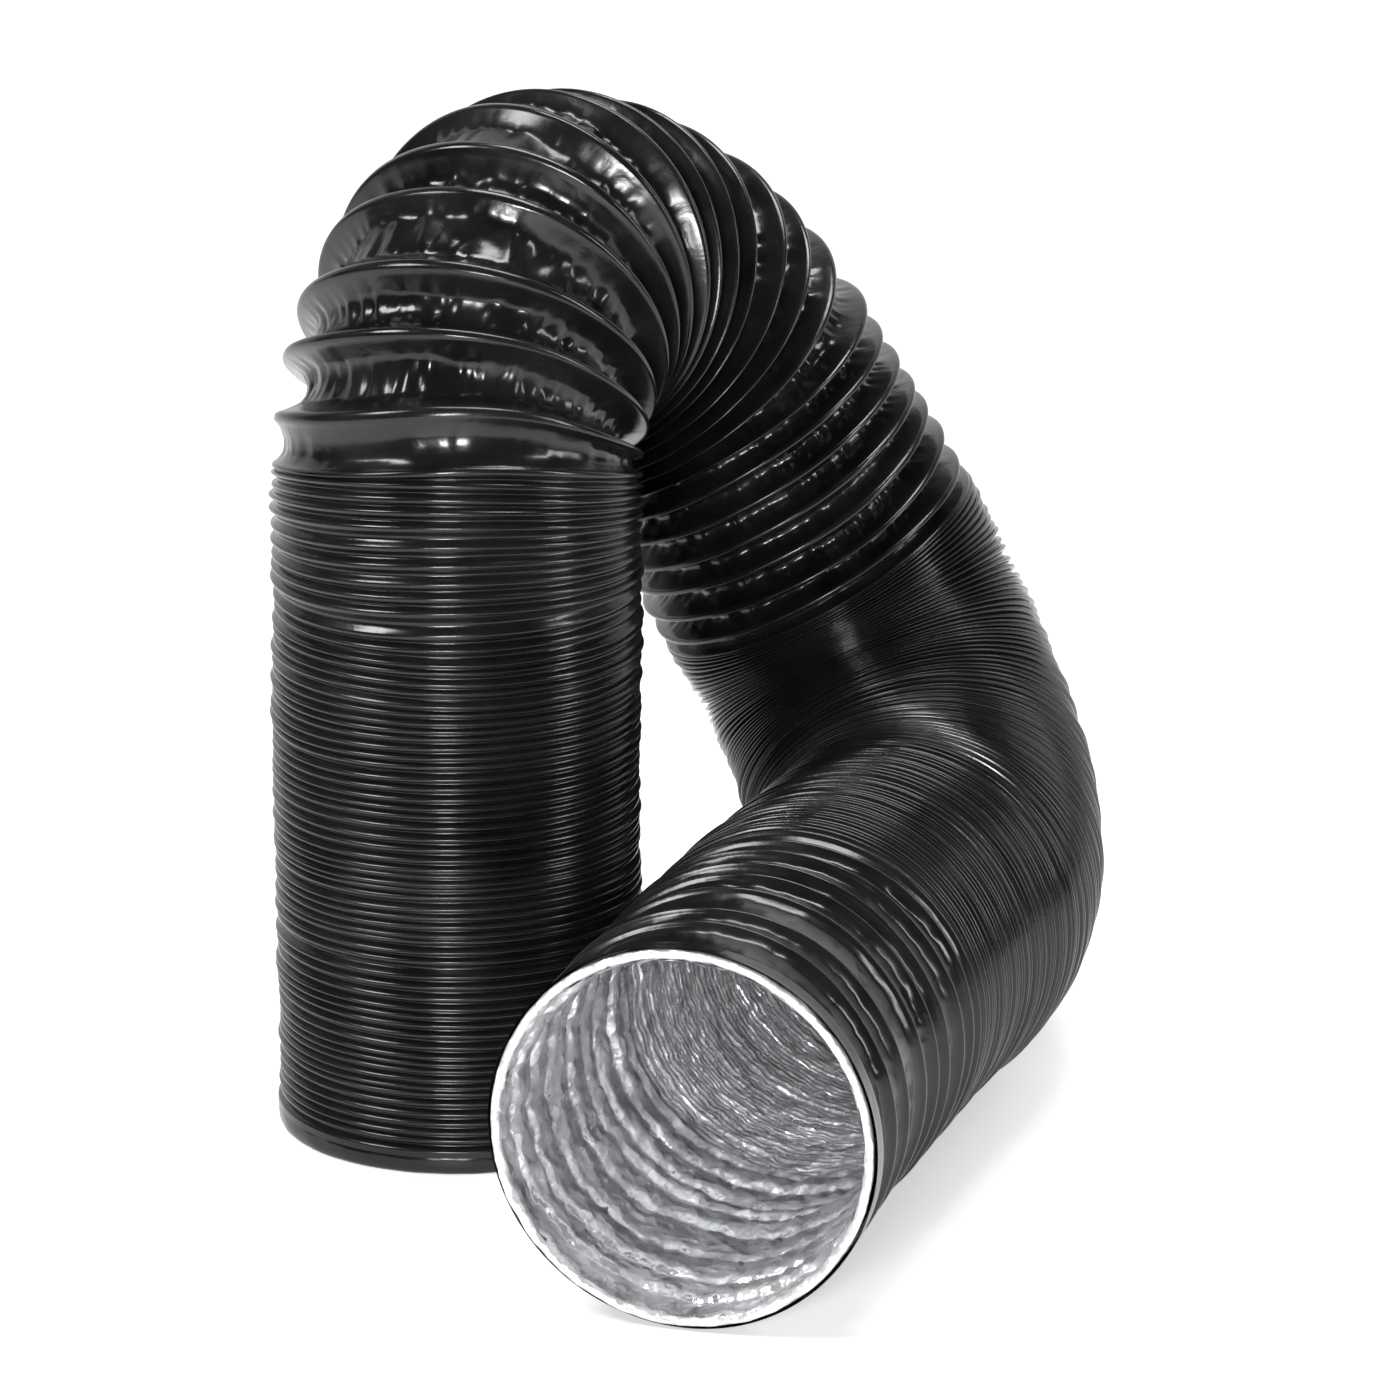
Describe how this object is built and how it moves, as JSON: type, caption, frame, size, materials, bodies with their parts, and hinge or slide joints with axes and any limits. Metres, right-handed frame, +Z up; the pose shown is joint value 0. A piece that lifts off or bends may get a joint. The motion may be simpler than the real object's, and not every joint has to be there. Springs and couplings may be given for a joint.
{
  "type": "flexible air duct",
  "caption": "Round flexible air duct, film over a spring-wire helix with a foil liner, standing half packed, arched over and laid on the floor to an open mouth.",
  "frame": {"origin": "centre of the foot opening, on the floor", "axes": "+Z up along the standing stack, +X right and +Y away from the viewer, the mouth opening towards -Y"},
  "size_m": [0.3577, 0.5206, 0.4266],
  "materials": {
    "black_film": "thin glossy black PVC film, creased and beaded over the wire",
    "foil": "crumpled aluminium foil laminate, bright with sharp creases",
    "foil_hem": "pale foil folded over the cut end, satin, slightly ragged",
    "spring_wire": "bronze-coloured coated spring-steel wire"
  },
  "bodies": {
    "standing_stack": {"sleeve_stack": "black_film", "liner_stack": "foil", "wire_stack": "spring_wire", "foot_hem": "black_film", "sleeve_shoulder": "black_film", "liner_shoulder": "foil", "wire_shoulder": "spring_wire"},
    "arch": {"sleeve_arch": "black_film", "liner_arch": "foil", "wire_arch": "spring_wire", "sleeve_fall": "black_film", "liner_fall": "foil", "wire_fall": "spring_wire"},
    "elbow": {"sleeve_elbow": "black_film", "liner_elbow": "foil", "wire_elbow": "spring_wire", "sleeve_swing": "black_film", "liner_swing": "foil", "wire_swing": "spring_wire"},
    "floor_run": {"sleeve_run": "black_film", "liner_run": "foil", "wire_run": "spring_wire", "sleeve_pull": "black_film", "liner_pull": "foil", "wire_pull": "spring_wire"},
    "collar": {"sleeve_collar": "black_film", "liner_collar": "foil", "wire_collar": "spring_wire", "sleeve_turn": "black_film", "liner_turn": "foil", "wire_turn": "spring_wire"},
    "mouth": {"sleeve_mouth": "black_film", "liner_mouth": "foil", "wire_mouth": "spring_wire", "mouth_hem": "foil_hem"}
  },
  "joints": [
    {"name": "shoulder_tilt", "type": "hinge", "parent": "standing_stack", "child": "arch", "pos_m": [-0.0785, 0, 0.245], "axis": [0, -1, 0], "range_deg": [0, 8], "deforming": ["sleeve_shoulder", "liner_shoulder", "wire_shoulder"]},
    {"name": "fall_bend", "type": "hinge", "parent": "arch", "child": "elbow", "pos_m": [0.1325, 0.1681, 0.2362], "axis": [-0.1, -0.995, 0], "range_deg": [-1, 8], "deforming": ["sleeve_fall", "liner_fall", "wire_fall"]},
    {"name": "floor_swing", "type": "hinge", "parent": "elbow", "child": "floor_run", "pos_m": [0.2508, -0.0226, 0.0785], "axis": [0, 0, 1], "range_deg": [0, 12], "deforming": ["sleeve_swing", "liner_swing", "wire_swing"]},
    {"name": "mouth_pull", "type": "slide", "parent": "floor_run", "child": "collar", "axis": [-0.3109, -0.9504, 0], "range_m": [-0.02, 0.03], "deforming": ["sleeve_pull", "liner_pull", "wire_pull"]},
    {"name": "mouth_turn", "type": "hinge", "parent": "collar", "child": "mouth", "pos_m": [0.1133, -0.1812, 0.0785], "axis": [0, 0, 1], "range_deg": [-10, 10], "deforming": ["sleeve_turn", "liner_turn", "wire_turn"]}
  ]
}
